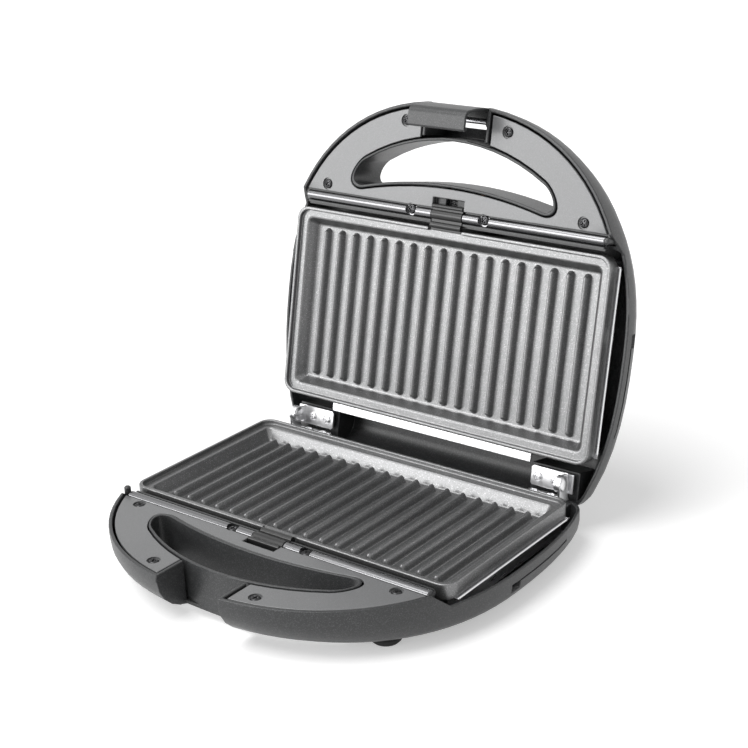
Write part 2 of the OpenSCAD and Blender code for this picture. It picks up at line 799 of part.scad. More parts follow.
// Hinge bracket on the +X side: a screwed plate and an upright ear
module bracket(at_x, out_x, back, bore, down) {
    plate_z = -down - sheet;
    difference() {
        union() {
            translate([0, 0, plate_z])
                linear_extrude(height = sheet) {
                    translate([bracket_in, bracket_front + 2])
                        square([out_x - bracket_in, back - bracket_front - 4]);
                    translate([bracket_in + 2, bracket_front])
                        square([out_x - bracket_in - 2, back - bracket_front]);
                    for (y = [bracket_front + 2, back - 2])
                        translate([bracket_in + 2, y]) circle(r = 2, $fn = 24);
                }
            translate([at_x + sheet / 2, 0, 0]) along_x(sheet) {
                translate([hinge_y, hinge_z]) circle(r = ear_r);
                translate([bracket_front + 0.2, plate_z])
                    square([2 * (hinge_y - bracket_front) - 0.4, hinge_z - plate_z]);
            }
        }
        for (x = bracket_screws) translate([x, bracket_screw_y, plate_z - 1]) cylinder(r = 1.5, h = 4);
        translate([0, hinge_y, hinge_z]) rod_x(bore, at_x - 1, at_x + sheet + 1);
    }
}
module base_bracket() bracket(base_ear_x, stack_out, base_bracket_back, rivet_r, base_bracket_down);
module lid_bracket()
    bracket(ear_x, ear_x + 6, lid_bracket_back, rivet_r + pivot_gap, lid_bracket_down);
module base_bracket_right() color(bright_colour) base_frame() base_bracket();
module base_bracket_left() color(bright_colour) base_frame() mirror([1, 0, 0]) base_bracket();
module lid_bracket_right() color(bright_colour) lid_frame() lid_bracket();
module lid_bracket_left() color(bright_colour) lid_frame() mirror([1, 0, 0]) lid_bracket();

module hinge_rivets() color(bright_colour) base_frame()
    both_sides() translate([0, hinge_y, hinge_z]) {
        rod_x(rivet_r, ear_x - rivet_head_h, stack_out + rivet_head_h);
        rod_x(rivet_head_r, ear_x - rivet_head_h, ear_x);
        rod_x(rivet_head_r, stack_out, stack_out + rivet_head_h);
    }
module hinge_washers() color(bright_colour) base_frame()
    both_sides() translate([0, hinge_y, hinge_z])
        difference() {
            rod_x(ear_r - 0.2, ear_x + sheet, base_ear_x);
            rod_x(rivet_r, ear_x, stack_out);
        }

// Works inside the base
module thermostat() color([0.85, 0.83, 0.78]) base_frame() {
    translate([0, 0, -reflector_floor]) cylinder(r = 8, h = reflector_floor - pan_depth - plate_t);
    for (x = [-4.4, 4.4]) block(x - 1.6, x + 1.6, 7, 14, -reflector_floor, -reflector_floor + 0.8);
}
module thermal_fuse() color([0.75, 0.75, 0.72]) base_frame()
    translate([0, -16, -pan_depth - plate_t - 1.9]) {
        rod_x(1.9, -7, 7);
        rod_x(0.5, -16, 16);
    }
module terminal_block() color([0.88, 0.88, 0.84]) base_frame() {
    z0 = -body_depth + wall;
    difference() {
        block(-26, 4, reflector_half_d + 0.6, base_rear - wall - side_round - 0.1, z0, z0 + 10);
        for (x = [-21, -11, -1]) translate([x, reflector_half_d + 4, z0 + 4]) cylinder(r = 2, h = 10);
    }
}

// Cable inlet: a moulded bush in the rear wall
module cable_inlet() color(dark_colour) base_frame()
    translate([inlet_x, base_rear, -inlet_deep]) rotate([-90, 0, 0])
        difference() {
            union() {
                translate([0, 0, -9]) cylinder(r = inlet_r + inlet_wall, h = 9);
                cylinder(r = inlet_r + inlet_rim, h = 1.4);
            }
            translate([0, 0, -10]) cylinder(r = inlet_r, h = 13);
        }

// Latch: a J-shaped flap on a barrel, with a beaded lip that hooks under the base's ledge
latch_half = notch_half - 1.5;
latch_front = latch_y + 8.2;
latch_tip = latch_y - 4.4;
latch_bulge = 1.2;
latch_lean = 1;
crown_r = 9;
crown_z = -latch_deep + 3;
bead_r = 1.3;
bead_down = 1.7;
barrel_end = 6;
latch_reach = close_gap + ledge_down + ledge_gap + bead_r + bead_down;
curl_z = latch_reach - latch_curl;
function arc_points(y, z, r, from, to, n) =
    [for (i = [0 : n]) let (a = from + (to - from) * i / n) [y + r * cos(a), z + r * sin(a)]];
// One face of the flap, `t` inside the outer one: crown, bulging front, curl and hook
function latch_face(t) = concat(
    arc_points(-latch_front + crown_r, crown_z, crown_r - t, 270, 180, 8),
    [for (i = [1 : 9]) let (f = i / 10)
        [-latch_front + t - 4 * latch_bulge * f * (1 - f) + latch_lean * f,
            crown_z + (curl_z - crown_z) * f]],
    arc_points(-latch_front + latch_lean + latch_curl, curl_z, latch_curl - t, 180, 90, 8),
    [[-latch_tip, latch_reach - t]]);
module latch_profile() {
    outer = latch_face(0);
    polygon(concat(latch_face(latch_t), [for (i = [len(outer) - 1 : -1 : 0]) outer[i]]));
    translate([-latch_tip, latch_reach - bead_down]) circle(r = bead_r, $fn = 24);
    // barrel and its web
    translate([-latch_y, -latch_deep]) circle(r = latch_pin_r + 1.7);
    translate([-latch_front + 1, -latch_deep - 1]) square([latch_front - latch_y - 1, 2]);
}
module latch() color(housing_colour) lid_frame()
    difference() {
        along_x(2 * latch_half) latch_profile();
        translate([0, -latch_y, -latch_deep]) rod_x(latch_pin_r + pivot_gap, -far, far);
        // the barrel is left at the two ends only
        block(-latch_half + barrel_end, latch_half - barrel_end, -latch_y - 3.4, -latch_y + 4,
            -latch_deep - 3.4, -latch_deep + 4);
    }
module latch_pin() color(bright_colour) lid_frame()
    translate([0, -latch_y, -latch_deep])
        rod_x(latch_pin_r, -latch_bore_half + pin_end_gap, latch_bore_half - pin_end_gap);

// Indicator lenses in the lid's outer face and the lamps under them
module lens(colour) color(colour)
    lid_frame()
        translate([0, lens_y, -body_depth])
            rotate_extrude()
                polygon([[0, -0.9], [lens_r - 1.4, -0.6], [lens_r - 0.2, 0], [lens_r - 0.2, 4], [0, 4]]);
module power_lens() translate([-lens_x, 0, 0]) lens([0.75, 0.1, 0.08]);
module ready_lens() translate([lens_x, 0, 0]) lens([0.12, 0.6, 0.2]);
module indicator_lamps() color([0.95, 0.75, 0.55]) lid_frame()
    at_lenses() translate([0, 0, -body_depth + 4]) {
        cylinder(r = 2.6, h = 4);
        translate([0, 0, 4]) sphere(r = 2.6, $fn = 24);
    }

base_housing();
base_feet();
base_panel();
base_panel_screws();
base_rail();
base_plate();
base_reflector();
base_element();
base_catch();
base_catch_spring();
base_bracket_left();
base_bracket_right();
base_bracket_screws();
hinge_rivets();
hinge_washers();
thermostat();
thermal_fuse();
terminal_block();
cable_inlet();
lid_housing();
lid_panel();
lid_panel_screws();
lid_rail();
lid_plate();
lid_reflector();
lid_element();
lid_catch();
lid_catch_spring();
lid_bracket_left();
lid_bracket_right();
lid_bracket_screws();
latch();
latch_pin();
power_lens();
ready_lens();
indicator_lamps();
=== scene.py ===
import json
import math

import bmesh
import bpy
import numpy as np
from mathutils import Matrix, Vector

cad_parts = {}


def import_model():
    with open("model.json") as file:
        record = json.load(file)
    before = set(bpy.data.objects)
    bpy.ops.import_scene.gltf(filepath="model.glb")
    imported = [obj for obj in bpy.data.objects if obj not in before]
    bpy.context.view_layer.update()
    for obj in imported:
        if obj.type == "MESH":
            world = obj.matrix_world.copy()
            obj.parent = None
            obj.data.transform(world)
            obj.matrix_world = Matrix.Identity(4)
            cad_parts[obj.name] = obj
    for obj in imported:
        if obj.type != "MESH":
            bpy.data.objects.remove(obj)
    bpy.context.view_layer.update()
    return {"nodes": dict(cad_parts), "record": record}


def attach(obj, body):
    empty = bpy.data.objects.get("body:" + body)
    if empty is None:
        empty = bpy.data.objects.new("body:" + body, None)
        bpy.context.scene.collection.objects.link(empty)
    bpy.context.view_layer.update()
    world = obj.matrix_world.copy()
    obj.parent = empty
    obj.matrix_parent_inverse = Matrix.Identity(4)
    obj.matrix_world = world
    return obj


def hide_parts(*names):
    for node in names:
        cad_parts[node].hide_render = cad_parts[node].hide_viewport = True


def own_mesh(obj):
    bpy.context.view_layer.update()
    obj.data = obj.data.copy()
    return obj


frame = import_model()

MM = 0.001
scene = bpy.context.scene
nodes_of = frame["nodes"]
record = frame["record"]
slot_of = {s["node"]: s["material_slot"] for s in record["subparts"]}
body_of = {n: body for body, names in record["behaviour"]["bodies"].items() for n in names}

# ---------------------------------------------------------------- sizes in millimetres
# One half lies in its own frame: plate centre at the origin, lip in the plane z = 0,
# handle towards -Y. The base stands in it; the lid is its mirror image, turned open.
FRAME_Y, LIP_Z = 3.218, 33.0
HINGE_Y, HINGE_Z, CLOSE_GAP, OPEN_DEG = 75.0, 1.5, 3.0, 102.2

PLATE_W, PLATE_D, PLATE_R = 232.0, 124.0, 8.0
PAN_DEPTH, PLATE_T, SKIRT_H = 10.5, 2.4, 9.3
LIP_W, RING_DOWN, PAN_INSET, PAN_SLOPE = 2.0, 2.8, 7.0, 4.0
RIBS, RIB_SIDE, RIB_END, RIB_H, RIB_FOOT, RIB_TOP = 18, 19.3, 13.2, 4.6, 5.0, 2.2
LIP_STEP = 12.4

SEAT_Z = -2.2
BASE_BRACKET_Z, LID_BRACKET_Z = -9.0, -6.0
PANEL_SCREWS = ((94.3, -78.5), (37.0, -124.5))
RAIL_SCREW = (26.9, -70.9)
BRACKET_SCREWS = ((81.5, 76.2), (93.5, 76.2))
HEAD_R, SHANK_R = 3.0, 1.25
PANEL_SHANK, RAIL_SHANK, BRACKET_SHANK = 8, 3, 9
EAR_X, STACK_OUT = 99.5, 103.5
RIVET_R, RIVET_HEAD_R, RIVET_HEAD_H = 2.2, 4.4, 1.2

BASE_FRAME = Matrix.Translation((0, -FRAME_Y, LIP_Z))
LID_FRAME = (
    BASE_FRAME
    @ Matrix.Translation((0, HINGE_Y, HINGE_Z))
    @ Matrix.Rotation(math.radians(-OPEN_DEG), 4, "X")
    @ Matrix.Translation((0, -HINGE_Y, -HINGE_Z))
    @ Matrix.Translation((0, 0, CLOSE_GAP))
    @ Matrix.Scale(-1, 4, (0, 0, 1))
)
TO_METRES = Matrix.Scale(MM, 4)


# ---------------------------------------------------------------- camera
AZIMUTH, ELEVATION, ROLL = 37.991, 21.054, -2.148
FOCAL_PX, CENTRE_U, CENTRE_V, RANGE_MM = 1544.877, 347.165, 491.85, 914.82
FRAME_PX, SENSOR = 748, 36.0
CLIP_NEAR, CLIP_FAR = 0.05, 20


def make_camera():
    """The photograph's viewpoint: its angles, roll and framing, as a camera without shift."""
    a, e, r = (math.radians(v) for v in (AZIMUTH, ELEVATION, ROLL))
    back = Vector((math.sin(a) * math.cos(e), -math.cos(a) * math.cos(e), math.sin(e)))
    right = (-back).cross(Vector((0, 0, 1))).normalized()
    up = right.cross(-back)
    right, up = (
        right * math.cos(r) + up * math.sin(r),
        up * math.cos(r) - right * math.sin(r),
    )
    half = FRAME_PX / 2
    dx = (CENTRE_U - half) / FOCAL_PX * RANGE_MM
    dy = -(CENTRE_V - half) / FOCAL_PX * RANGE_MM
    place = (back * RANGE_MM - right * dx - up * dy) + Vector((0, -FRAME_Y, LIP_Z))
    cam = bpy.data.objects.new("camera", bpy.data.cameras.new("camera"))
    cam.data.lens = FOCAL_PX / FRAME_PX * SENSOR
    cam.data.sensor_width = SENSOR
    cam.data.clip_start = CLIP_NEAR
    cam.data.clip_end = CLIP_FAR
    scene.collection.objects.link(cam)
    axes = Matrix((right, up, back)).transposed().to_4x4()
    cam.matrix_world = Matrix.Translation(place * MM) @ axes
    scene.camera = cam


make_camera()


# ---------------------------------------------------------------- materials
# Noise scales are in cells per metre and bump depths in metres.
PLASTIC_CLOUD, PLASTIC_SPECK = 22, 2600
METAL_CLOUD = 45
PANEL_CLOUD, PANEL_SPECK, PANEL_GRAIN = 14, 5200, 3200
COATING_CLOUD, COATING_FLAKE, COATING_GRAIN = 30, 3700, 2300


class Mat:
    """A node material built a line at a time."""

    def __init__(self, name):
        self.m = bpy.data.materials.new(name)
        self.m.use_nodes = True
        self.t = self.m.node_tree
        self.b = self.t.nodes["Principled BSDF"]
        self.pos = self.t.nodes.new("ShaderNodeTexCoord").outputs["Object"]

    def set(self, **values):
        """Constant values on the shader's own sockets; _ stands for a space in their names."""
        for key, v in values.items():
            self.b.inputs[key.replace("_", " ")].default_value = v
        return self

    def noise(self, scale, detail=2.0, rough=0.5, vec=None):
        n = self.t.nodes.new("ShaderNodeTexNoise")
        n.inputs["Scale"].default_value = scale
        n.inputs["Detail"].default_value = detail
        n.inputs["Roughness"].default_value = rough
        self.t.links.new(vec or self.pos, n.inputs["Vector"])
        return n.outputs["Fac"]

    def cells(self, scale):
        """A random colour for each cell of a fine mosaic."""
        n = self.t.nodes.new("ShaderNodeTexVoronoi")
        n.inputs["Scale"].default_value = scale
        self.t.links.new(self.pos, n.inputs["Vector"])
        return n.outputs["Color"]

    def channel(self, colour, i):
        n = self.t.nodes.new("ShaderNodeSeparateColor")
        self.t.links.new(colour, n.inputs[0])
        return n.outputs[i]

    def stretch(self, x, y, z):
        """Object coordinates scaled by axis, for a noise that runs in lines."""
        n = self.t.nodes.new("ShaderNodeMapping")
        n.inputs["Scale"].default_value = (x, y, z)
        self.t.links.new(self.pos, n.inputs["Vector"])
        return n.outputs["Vector"]

    def ramp(self, fac, stops):
        """Greys or colours at given places between 0 and 1."""
        n = self.t.nodes.new("ShaderNodeValToRGB")
        e = n.color_ramp.elements
        while len(e) < len(stops):
            e.new(0.5)
        for i, (p, c) in enumerate(stops):
            e[i].position = p
            e[i].color = (*c, 1) if hasattr(c, "__len__") else (c, c, c, 1)
        self.t.links.new(fac, n.inputs["Fac"])
        return n.outputs["Color"]

    def mix(self, fac, a, b):
        n = self.t.nodes.new("ShaderNodeMix")
        n.data_type = "RGBA"
        for sock, v in ((n.inputs[0], fac), (n.inputs[6], a), (n.inputs[7], b)):
            if hasattr(v, "is_linked"):
                self.t.links.new(v, sock)
            elif hasattr(v, "__len__"):
                sock.default_value = (*v, 1)
            else:
                sock.default_value = v
        return n.outputs[2]

    def colour(self, v):
        self.t.links.new(v, self.b.inputs["Base Color"])
        return self

    def rough(self, v):
        self.t.links.new(v, self.b.inputs["Roughness"])
        return self

    def bump(self, height, dist, strength=1.0):
        n = self.t.nodes.new("ShaderNodeBump")
        n.inputs["Strength"].default_value = strength
        n.inputs["Distance"].default_value = dist
        self.t.links.new(height, n.inputs["Height"])
        self.t.links.new(n.outputs["Normal"], self.b.inputs["Normal"])
        return self


def moulded(name, dark, light, grain, depth, low, high, speck=None):
    """Moulded plastic or rubber: a fine grain, a faint change of tone and specks of light."""
    m = Mat(name)
    fine = m.noise(grain, 3.0, 0.6)
    tone = m.ramp(m.noise(PLASTIC_CLOUD), [(0.3, dark), (0.7, light)])
    if speck:
        spots = m.ramp(m.channel(m.cells(PLASTIC_SPECK), 0), [(0.70, 0.0), (1.0, 1.0)])
        tone = m.mix(spots, tone, speck)
    m.colour(tone)
    m.rough(m.ramp(fine, [(0.3, low), (0.7, high)]))
    m.bump(fine, depth, 0.6)
    return m.m


def metal(name, colour, low, high, grain=(400, 400, 400), depth=0.0000012, metallic=1.0):
    """Sheet, wire or bar, with fine lines along the axis of the smallest grain."""
    m = Mat(name).set(Metallic=metallic)
    fine = m.noise(1.0, 3.0, 0.6, m.stretch(*grain))
    m.colour(m.ramp(m.noise(METAL_CLOUD, 3.0), [(0.3, tuple(c * 0.93 for c in colour)), (0.7, colour)]))
    m.rough(m.ramp(fine, [(0.3, low), (0.7, high)]))
    m.bump(fine, depth, 0.4)
    return m.m


def panel_paint():
    """Satin grey paint with a very fine metallic speck."""
    m = Mat("panel_plastic").set(Metallic=0.12, Coat_Weight=0.4, Coat_Roughness=0.18)
    speck = m.channel(m.cells(PANEL_SPECK), 0)
    tone = m.ramp(m.noise(PANEL_CLOUD), [(0.3, (0.158, 0.160, 0.163)), (0.7, (0.173, 0.175, 0.178))])
    m.colour(m.mix(m.ramp(speck, [(0.7, 0.0), (1.0, 0.35)]), tone, (0.36, 0.36, 0.365)))
    fine = m.noise(PANEL_GRAIN)
    m.rough(m.ramp(fine, [(0.3, 0.42), (0.7, 0.50)]))
    m.bump(fine, 0.000008, 0.5)
    return m.m


def plate_coating():
    """Dark non-stick coating with metal flakes in it."""
    m = Mat("coated_plate").set(Metallic=0.85)
    flake = m.cells(COATING_FLAKE)
    tone = m.ramp(m.noise(COATING_CLOUD, 3.0), [(0.3, (0.20, 0.201, 0.203)), (0.7, (0.225, 0.226, 0.228))])
    shade = m.ramp(m.channel(flake, 1), [(0.0, 0.45), (0.6, 1.0)])
    body = m.mix(m.ramp(m.channel(flake, 0), [(0.90, 0.0), (0.97, 1.0)]), tone, (0.48, 0.48, 0.48))
    m.colour(m.mix(shade, (0.11, 0.11, 0.111), body))
    fine = m.noise(COATING_GRAIN, 2.0, 0.5)
    m.rough(m.ramp(m.channel(flake, 2), [(0.0, 0.32), (1.0, 0.44)]))
    m.bump(fine, 0.00002, 0.5)
    return m.m


MATS = {
    "dark_plastic": moulded(
        "dark_plastic", (0.028, 0.029, 0.030), (0.034, 0.035, 0.036), 1900, 0.00003, 0.34, 0.46,
        speck=(0.085, 0.086, 0.088)),
    "black_plastic": moulded("black_plastic", 0.014, 0.020, 1800, 0.00002, 0.28, 0.40),
    "rubber": moulded("rubber", 0.012, 0.02, 1500, 0.00006, 0.6, 0.8),
    "panel_plastic": panel_paint(),
    "coated_plate": plate_coating(),
    "bright_steel": metal("bright_steel", (0.80, 0.80, 0.81), 0.30, 0.38),
    "sheet_steel": metal("sheet_steel", (0.80, 0.80, 0.81), 0.26, 0.36, (300, 40, 300)),
    "dark_screw": metal("dark_screw", (0.055, 0.055, 0.057), 0.22, 0.34),
    "element_steel": metal("element_steel", (0.25, 0.24, 0.23), 0.4, 0.6),
    "spring_steel": metal("spring_steel", (0.55, 0.55, 0.57), 0.25, 0.35),
    "ceramic": moulded("ceramic", (0.72, 0.70, 0.65), (0.80, 0.78, 0.72), 900, 0.00002, 0.3, 0.45),
    "terminal_plastic": moulded(
        "terminal_plastic", (0.72, 0.71, 0.65), (0.80, 0.79, 0.72), 900, 0.00002, 0.4, 0.55),
    "red_lens": moulded(
        "red_lens", (0.40, 0.018, 0.011), (0.45, 0.02, 0.012), 900, 0.000006, 0.12, 0.2),
    "green_lens": moulded(
        "green_lens", (0.018, 0.27, 0.054), (0.02, 0.30, 0.06), 900, 0.000006, 0.12, 0.2),
    "lamp_glass": moulded("lamp_glass", (0.81, 0.54, 0.36), (0.9, 0.6, 0.4), 900, 0.000006, 0.1, 0.15),
}
RAIL_FINISH = metal("rail_finish", (0.19, 0.19, 0.195), 0.22, 0.30, (30, 500, 500))

for name, obj in nodes_of.items():
    obj.data.materials.clear()
    obj.data.materials.append(MATS[slot_of[name]])


# ---------------------------------------------------------------- pieces
# An edge is rounded where it is this long and this sharp, and where the faces on both sides
# reach this many widths away from it.
SHORTEST_MM, SHARP_DEG, ROOM_IN_WIDTHS = 0.8, 32.0, 2.2
WELD, SLIVER, FLAT_DEG = 2e-6, 1e-6, 0.6
CAD_CREASE, PLATE_CREASE, TURNED_CREASE = 38.0, 48.0, 40.0


def link_piece(name, mesh, node, material=None):
    """A new object that stands for one CAD node, on the same body and with its finish."""
    piece = bpy.data.objects.new(name, mesh)
    scene.collection.objects.link(piece)
    mesh.materials.clear()
    mesh.materials.append(material or MATS[slot_of[node]])
    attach(piece, body_of[node])
    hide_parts(node)
    return piece


def shade(mesh, sharp_deg):
    """Smooth shading, broken at the edges that stay sharp."""
    bm = bmesh.new()
    bm.from_mesh(mesh)
    for face in bm.faces:
        face.smooth = True
    limit = math.radians(sharp_deg)
    for edge in bm.edges:
        edge.smooth = len(edge.link_faces) == 2 and edge.calc_face_angle(0.0) < limit
    bm.to_mesh(mesh)
    bm.free()


def weigh_normals(piece):
    """Keeps wide faces flat beside their rounded edges."""
    mod = piece.modifiers.new("normals", "WEIGHTED_NORMAL")
    mod.mode = "FACE_AREA"
    mod.keep_sharp = True


def reach(face, edge):
    """How far a face goes from one of its edges."""
    a, b = (v.co for v in edge.verts)
    inward = face.normal.cross((b - a).normalized())
    return max(abs((v.co - a).dot(inward)) for v in face.verts)


def sharp_edges(bm, width, used):
    """The edges that a rounding of this width has room for, away from the vertices in `used`."""
    found = []
    for edge in bm.edges:
        if len(edge.link_faces) != 2 or edge.calc_length() < SHORTEST_MM * MM:
            continue
        if edge.calc_face_angle(0.0) < math.radians(SHARP_DEG) or used.intersection(edge.verts):
            continue
        if min(reach(f, edge) for f in edge.link_faces) > ROOM_IN_WIDTHS * width:
            found.append(edge)
    return found


def soften(node, widths_mm, segments=2, material=None):
    """A copy of a CAD node with its moulded or pressed edges rounded, the wide ones first."""
    mesh = nodes_of[node].data.copy()
    mesh.name = node + "_shape"
    if "custom_normal" in mesh.attributes:
        mesh.attributes.remove(mesh.attributes["custom_normal"])
    bm = bmesh.new()
    bm.from_mesh(mesh)
    bmesh.ops.remove_doubles(bm, verts=bm.verts, dist=WELD)
    bmesh.ops.dissolve_limit(
        bm, angle_limit=math.radians(FLAT_DEG), verts=bm.verts, edges=bm.edges, delimit=set())
    used = set()
    for width in widths_mm:
        edges = sharp_edges(bm, width * MM, used)
        # A face with many corners would close holes and notches once its corners have moved.
        bmesh.ops.triangulate(bm, faces=[f for f in bm.faces if len(f.verts) > 4])
        edges = [e for e in edges if e.is_valid and len(e.link_faces) == 2]
        if edges:
            made = bmesh.ops.bevel(
                bm, geom=edges, offset=width * MM, offset_type="OFFSET", segments=segments,
                profile=0.5, affect="EDGES", clamp_overlap=False)
            used = {v for v in used if v.is_valid}.union(made["verts"])
    bmesh.ops.dissolve_degenerate(bm, dist=SLIVER, edges=bm.edges)
    bm.to_mesh(mesh)
    bm.free()
    shade(mesh, CAD_CREASE)
    piece = link_piece(node + "_shape", mesh, node, material)
    weigh_normals(piece)
    return piece


def rounded_line(corners, steps=4):
    """A line through corners, each cut back by its own length and rounded."""
    points = []
    for i, (x, y, cut) in enumerate(corners):
        here = Vector((x, y))
        if cut == 0 or i in (0, len(corners) - 1):
            points.append(here)
            continue
        start = here + (Vector(corners[i - 1][:2]) - here).normalized() * cut
        end = here + (Vector(corners[i + 1][:2]) - here).normalized() * cut
        for k in range(steps + 1):
            t = k / steps
            points.append(start * (1 - t) ** 2 + here * 2 * t * (1 - t) + end * t ** 2)
    return points


def smooth_min(a, b, k):
    """The lower of two heights, with the corner between them rounded over k."""
    h = np.clip(0.5 + 0.5 * (b - a) / k, 0, 1)
    return b * (1 - h) + a * h - k * h * (1 - h)


# ---------------------------------------------------------------- plates
FLOOR_INSET = 12.2
FLOOR_W, FLOOR_D = PLATE_W / 2 - FLOOR_INSET, PLATE_D / 2 - FLOOR_INSET
PITCH = (PLATE_W - 2 * RIB_SIDE) / (RIBS - 1)
RIB_HALF = PLATE_D / 2 - RIB_END - RIB_FOOT / 2
CORNER_STEPS = 8
# Grid lines at these distances from each rib's middle, and from the pan's middle to its end.
RIB_LINES = (0, 0.4, 0.7, 0.95, 1.2, 1.5, 1.85, 2.2, 2.5, 2.8, 3.2)
END_LINES = (10, 30, 40, 44, 45.4, 46.3, 46.9, 47.4, 47.8, 48.2, 48.5, 48.8, 49.1, 49.4, FLOOR_D)
CREST_ROUND, FOOT_ROUND = 2.8, 1.1
STEP_SLOPE, STEP_CLEAR, STEP_FRONT = 0.15, 0.2, 3.6
SPREAD_X, SPREAD_Y = 80, 30


def rib_height(x, y):
    """Height of the ribs over the pan's floor, with rounded feet, tops and ends."""
    nearest = (np.clip(np.round(x / PITCH - 0.5), -RIBS / 2, RIBS / 2 - 1) + 0.5) * PITCH
    away = np.hypot(x - nearest, np.maximum(np.abs(y) - RIB_HALF, 0))
    side = RIB_H * (RIB_FOOT / 2 - away) / (RIB_FOOT / 2 - RIB_TOP / 2)
    top = smooth_min(side, np.full_like(side, RIB_H), CREST_ROUND)
    return -smooth_min(-top, np.zeros_like(top), FOOT_ROUND)


def plate_columns():
    """The grid's lines along the ribs, with a close pair at each end of the front step."""
    xs = {-FLOOR_W, FLOOR_W}
    for i in range(RIBS):
        middle = (i - (RIBS - 1) / 2) * PITCH
        for off in RIB_LINES:
            xs.update((middle - off, middle + off))
    xs = sorted(xs)
    step = [s * (LIP_STEP + d) for s in (-1, 1) for d in (-STEP_SLOPE, STEP_SLOPE)]
    return sorted([x for x in xs if all(abs(x - s) > STEP_CLEAR for s in step)] + step)


def plate_rows():
    """The grid's lines across the ribs."""
    return sorted([-y for y in END_LINES] + list(END_LINES))


def spread(v, flat, inner, outer):
    """Moves a grid line outwards near its end, from the inner rectangle to an outer one."""
    t = max(0.0, (abs(v) - flat) / (inner - flat))
    return v + math.copysign((outer - inner) * t, v)


def plate_ring(inset, z, xs, ys):
    """One closed line round the plate, through the ends of the floor's grid lines."""
    w, d = PLATE_W / 2 - inset, PLATE_D / 2 - inset
    r = 0.0 if inset >= FLOOR_INSET else max(1.0, PLATE_R - 0.6 * inset)
    across = [spread(x, SPREAD_X, FLOOR_W, w - r) for x in xs]
    along = [spread(y, SPREAD_Y, FLOOR_D, d - r) for y in ys]
    sides = [
        [(x, -d) for x in across],
        [(w, y) for y in along],
        [(x, d) for x in reversed(across)],
        [(-w, y) for y in reversed(along)],
    ]
    corners = [(w - r, -d + r), (w - r, d - r), (-w + r, d - r), (-w + r, -d + r)]
    ring = []
    for k, (side, (cx, cy)) in enumerate(zip(sides, corners)):
        ring += side
        for i in range(1, CORNER_STEPS):
            a = math.radians(-90 + 90 * k + 90 * i / CORNER_STEPS)
            ring.append((cx + r * math.cos(a), cy + r * math.sin(a)))
    front = -PLATE_D / 2 + STEP_FRONT
    return [
        (x, y, min(z, -RING_DOWN) if abs(x) < LIP_STEP and y < front else z)
        for x, y in ring
    ]


def plate_mesh(name, place, mirrored):
    """A plate as rings from its underside over skirt and lip to the pan, and the ribbed floor."""
    xs, ys = plate_columns(), plate_rows()
    under = -PAN_DEPTH - PLATE_T
    wall_in = PAN_INSET - PLATE_T + 0.6
    line = rounded_line([
        (wall_in + 1.2, under, 0), (wall_in, under, 0.6), (wall_in, -RING_DOWN - PLATE_T, 0),
        (PLATE_T, -RING_DOWN - PLATE_T, 0), (PLATE_T, -SKIRT_H, 0), (0, -SKIRT_H, 0.4),
        (0, 0, 0.75), (LIP_W, 0, 0.6), (LIP_W, -RING_DOWN, 0.6),
        (PAN_INSET, -RING_DOWN, 1.1), (PAN_INSET + PAN_SLOPE, -PAN_DEPTH, 1.2),
        (FLOOR_INSET, -PAN_DEPTH, 0)])
    bm = bmesh.new()
    rings = [[bm.verts.new(p) for p in plate_ring(q.x, q.y, xs, ys)] for q in line]
    n = len(rings[0])
    for low, high in zip(rings, rings[1:]):
        for k in range(n):
            m = (k + 1) % n
            bm.faces.new((low[k], low[m], high[m], high[k]))
    bm.faces.new(list(reversed(rings[0])))
    gx, gy = np.meshgrid(xs, ys)
    gz = rib_height(gx, gy) - PAN_DEPTH
    grid = [[bm.verts.new((gx[j, i], gy[j, i], gz[j, i])) for i in range(len(xs))]
            for j in range(len(ys))]
    for j in range(len(ys) - 1):
        for i in range(len(xs) - 1):
            bm.faces.new((grid[j][i], grid[j][i + 1], grid[j + 1][i + 1], grid[j + 1][i]))
    bmesh.ops.remove_doubles(bm, verts=bm.verts, dist=1e-3)
    bmesh.ops.transform(bm, matrix=TO_METRES @ place, verts=bm.verts)
    if mirrored:
        bmesh.ops.reverse_faces(bm, faces=bm.faces)
    mesh = bpy.data.meshes.new(name)
    bm.to_mesh(mesh)
    bm.free()
    shade(mesh, PLATE_CREASE)
    return mesh


HALVES = (("base", BASE_FRAME, False), ("lid", LID_FRAME, True))
for half, place, mirrored in HALVES:
    name = half + "_plate_shape"
    weigh_normals(link_piece(name, plate_mesh(name, place, mirrored), half + "_plate"))


# ---------------------------------------------------------------- screws and rivets
# The cross recess: where it starts, its depth, an arm's half width and length, their slopes.
RECESS_FROM, RECESS_DEPTH = 0.9, 0.85
ARM_HALF, ARM_SLOPE, ARM_LENGTH, END_SLOPE = 0.50, 0.16, 1.85, 0.35
TURN_STEP, TURN_SHIFT = 37, 11
SCREW_SIDES, RIVET_SIDES = 64, 48


def lathe(bm, line, place, sides, height=None):
    """Turns a line of (radius, height) about Z and places it; `height` shapes its top."""
    rings = []
    for r, z in line:
        if r == 0:
            rings.append([bm.verts.new((0, 0, z if height is None else height(0, 0, z)))])
            continue
        ring = []
        for k in range(sides):
            a = 2 * math.pi * k / sides
            x, y = r * math.cos(a), r * math.sin(a)
            ring.append(bm.verts.new((x, y, z if height is None else height(x, y, z))))
        rings.append(ring)
    for low, high in zip(rings, rings[1:]):
        for k in range(sides):
            m = (k + 1) % sides
            corners = (low[k % len(low)], low[m % len(low)],
                       high[m % len(high)], high[k % len(high)])
            bm.faces.new(list(dict.fromkeys(corners)))
    bmesh.ops.transform(bm, matrix=place, verts=[v for ring in rings for v in ring])


